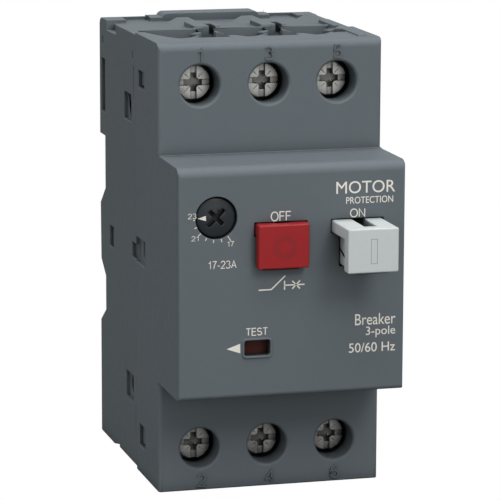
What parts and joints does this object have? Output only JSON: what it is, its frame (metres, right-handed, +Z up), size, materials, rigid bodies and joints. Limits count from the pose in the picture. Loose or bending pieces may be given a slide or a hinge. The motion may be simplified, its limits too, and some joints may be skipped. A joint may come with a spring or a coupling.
{
  "type": "motor protection circuit breaker",
  "caption": "DIN-rail motor protection breaker with two push-buttons, a rated-current dial and screw terminals above and below.",
  "frame": {"origin": "centre of the footprint's bounding box at the lowest point", "axes": "+Z up, front with the buttons towards -Y, +X to the right seen from the front"},
  "size_m": [0.045, 0.0782, 0.0893],
  "materials": {
    "housing_plastic": "satin",
    "cover_plastic": "satin",
    "on_plastic": "satin",
    "off_plastic": "satin",
    "test_plastic": "satin",
    "dial_plastic": "satin",
    "clip_plastic": "satin",
    "spring_steel": "bright",
    "zinc_steel": "zinc plated",
    "thermoset": "matt",
    "copper": "satin copper",
    "screw_steel": "nickel plated",
    "chute_steel": "satin",
    "core_iron": "satin",
    "bimetal_metal": "satin"
  },
  "bodies": {
    "housing": {"rear_housing": "housing_plastic", "front_cover": "cover_plastic", "mechanism_frame": "zinc_steel", "rocker_pin": "zinc_steel", "latch_pin": "zinc_steel", "din_clip_spring": "spring_steel", "on_button_spring": "spring_steel", "test_slider_spring": "spring_steel", "line_terminal_1": "copper", "line_terminal_3": "copper", "line_terminal_5": "copper", "load_terminal_2": "copper", "load_terminal_4": "copper", "load_terminal_6": "copper", "arc_chute_1": "chute_steel", "arc_chute_2": "chute_steel", "arc_chute_3": "chute_steel", "trip_coil_1": "copper", "trip_coil_2": "copper", "trip_coil_3": "copper", "magnet_yoke_1": "core_iron", "magnet_yoke_2": "core_iron", "magnet_yoke_3": "core_iron", "bimetal_1": "bimetal_metal", "bimetal_2": "bimetal_metal", "bimetal_3": "bimetal_metal"},
    "on_button": {"on_button": "on_plastic"},
    "off_button": {"off_button": "off_plastic"},
    "rocker": {"rocker_lever": "zinc_steel"},
    "carrier": {"contact_carrier": "thermoset", "contact_springs": "spring_steel", "contact_bridge_1": "copper", "contact_bridge_2": "copper", "contact_bridge_3": "copper"},
    "test_slider": {"test_slider": "test_plastic"},
    "trip_bar": {"trip_bar": "thermoset"},
    "latch": {"latch_lever": "zinc_steel"},
    "dial": {"setting_dial": "dial_plastic"},
    "compensation": {"compensation_slide": "zinc_steel"},
    "rail_clip": {"din_clip": "clip_plastic"},
    "screw_1": {"terminal_screw_1": "screw_steel"},
    "cage_1": {"clamp_cage_1": "zinc_steel"},
    "screw_2": {"terminal_screw_2": "screw_steel"},
    "cage_2": {"clamp_cage_2": "zinc_steel"},
    "screw_3": {"terminal_screw_3": "screw_steel"},
    "cage_3": {"clamp_cage_3": "zinc_steel"},
    "screw_4": {"terminal_screw_4": "screw_steel"},
    "cage_4": {"clamp_cage_4": "zinc_steel"},
    "screw_5": {"terminal_screw_5": "screw_steel"},
    "cage_5": {"clamp_cage_5": "zinc_steel"},
    "screw_6": {"terminal_screw_6": "screw_steel"},
    "cage_6": {"clamp_cage_6": "zinc_steel"},
    "plunger_1": {"magnet_plunger_1": "core_iron"},
    "plunger_2": {"magnet_plunger_2": "core_iron"},
    "plunger_3": {"magnet_plunger_3": "core_iron"}
  },
  "joints": [
    {"name": "on_press", "type": "slide", "parent": "housing", "child": "on_button", "axis": [0, 1, 0], "range_m": [0, 0.008], "deforming": ["on_button_spring"]},
    {"name": "off_travel", "type": "slide", "parent": "housing", "child": "off_button", "axis": [0, 1, 0], "range_m": [-0.008, 0]},
    {"name": "rocker_turn", "type": "hinge", "parent": "housing", "child": "rocker", "pos_m": [0.0052, -0.013, 0.05045], "axis": [0, 0, 1], "range_deg": [0, 63.51]},
    {"name": "carrier_travel", "type": "slide", "parent": "housing", "child": "carrier", "axis": [0, 1, 0], "range_m": [0, 0.0024]},
    {"name": "test_slide", "type": "slide", "parent": "housing", "child": "test_slider", "axis": [-1, 0, 0], "range_m": [0, 0.0012], "stiffness_N_per_m": 300, "springref_m": -0.0008, "deforming": ["test_slider_spring"]},
    {"name": "trip_bar_turn", "type": "hinge", "parent": "housing", "child": "trip_bar", "pos_m": [0, 0.0042, 0.0444], "axis": [1, 0, 0], "range_deg": [0, 6]},
    {"name": "latch_turn", "type": "hinge", "parent": "housing", "child": "latch", "pos_m": [0.0051, 0.0015, 0.0614], "axis": [-1, 0, 0], "range_deg": [0, 6]},
    {"name": "dial_turn", "type": "hinge", "parent": "housing", "child": "dial", "pos_m": [-0.015, -0.0286, 0.0573], "axis": [0, -1, 0], "range_deg": [0, 122]},
    {"name": "compensation_travel", "type": "slide", "parent": "housing", "child": "compensation", "axis": [-1, 0, 0], "range_m": [0, 0.0021]},
    {"name": "rail_clip_pull", "type": "slide", "parent": "housing", "child": "rail_clip", "axis": [0, 0, -1], "range_m": [0, 0.0035], "stiffness_N_per_m": 1500, "springref_m": -0.001, "deforming": ["din_clip_spring"]},
    {"name": "screw_1_turn", "type": "hinge", "parent": "housing", "child": "screw_1", "pos_m": [-0.01415, -0.0072, 0.0804], "axis": [0, 1, 0], "range_deg": [0, 1800]},
    {"name": "cage_1_travel", "type": "slide", "parent": "housing", "child": "cage_1", "axis": [0, -1, 0], "range_m": [0, 0.0035]},
    {"name": "screw_2_turn", "type": "hinge", "parent": "housing", "child": "screw_2", "pos_m": [-0.01415, -0.0072, 0.0085], "axis": [0, 1, 0], "range_deg": [0, 1800]},
    {"name": "cage_2_travel", "type": "slide", "parent": "housing", "child": "cage_2", "axis": [0, -1, 0], "range_m": [0, 0.0035]},
    {"name": "screw_3_turn", "type": "hinge", "parent": "housing", "child": "screw_3", "pos_m": [-0.00035, -0.0072, 0.0804], "axis": [0, 1, 0], "range_deg": [0, 1800]},
    {"name": "cage_3_travel", "type": "slide", "parent": "housing", "child": "cage_3", "axis": [0, -1, 0], "range_m": [0, 0.0035]},
    {"name": "screw_4_turn", "type": "hinge", "parent": "housing", "child": "screw_4", "pos_m": [-0.00035, -0.0072, 0.0085], "axis": [0, 1, 0], "range_deg": [0, 1800]},
    {"name": "cage_4_travel", "type": "slide", "parent": "housing", "child": "cage_4", "axis": [0, -1, 0], "range_m": [0, 0.0035]},
    {"name": "screw_5_turn", "type": "hinge", "parent": "housing", "child": "screw_5", "pos_m": [0.01345, -0.0072, 0.0804], "axis": [0, 1, 0], "range_deg": [0, 1800]},
    {"name": "cage_5_travel", "type": "slide", "parent": "housing", "child": "cage_5", "axis": [0, -1, 0], "range_m": [0, 0.0035]},
    {"name": "screw_6_turn", "type": "hinge", "parent": "housing", "child": "screw_6", "pos_m": [0.01345, -0.0072, 0.0085], "axis": [0, 1, 0], "range_deg": [0, 1800]},
    {"name": "cage_6_travel", "type": "slide", "parent": "housing", "child": "cage_6", "axis": [0, -1, 0], "range_m": [0, 0.0035]},
    {"name": "plunger_1_lift", "type": "slide", "parent": "housing", "child": "plunger_1", "axis": [0, 0, 1], "range_m": [0, 0.002], "stiffness_N_per_m": 100, "springref_m": -0.001},
    {"name": "plunger_2_lift", "type": "slide", "parent": "housing", "child": "plunger_2", "axis": [0, 0, 1], "range_m": [0, 0.002], "stiffness_N_per_m": 100, "springref_m": -0.001},
    {"name": "plunger_3_lift", "type": "slide", "parent": "housing", "child": "plunger_3", "axis": [0, 0, 1], "range_m": [0, 0.002], "stiffness_N_per_m": 100, "springref_m": -0.001}
  ],
  "couplings": [
    {"joint": "off_travel", "follows": "on_press", "ratio": -1},
    {"joint": "rocker_turn", "follows": "on_press", "rad_per_m": 138.57},
    {"joint": "carrier_travel", "follows": "on_press", "ratio": 0.3},
    {"joint": "trip_bar_turn", "follows": "test_slide", "rad_per_m": 87.266},
    {"joint": "latch_turn", "follows": "test_slide", "rad_per_m": 87.266},
    {"joint": "dial_turn", "follows": "compensation_travel", "rad_per_m": 1014},
    {"joint": "screw_1_turn", "follows": "cage_1_travel", "rad_per_m": 8976},
    {"joint": "screw_2_turn", "follows": "cage_2_travel", "rad_per_m": 8976},
    {"joint": "screw_3_turn", "follows": "cage_3_travel", "rad_per_m": 8976},
    {"joint": "screw_4_turn", "follows": "cage_4_travel", "rad_per_m": 8976},
    {"joint": "screw_5_turn", "follows": "cage_5_travel", "rad_per_m": 8976},
    {"joint": "screw_6_turn", "follows": "cage_6_travel", "rad_per_m": 8976}
  ]
}
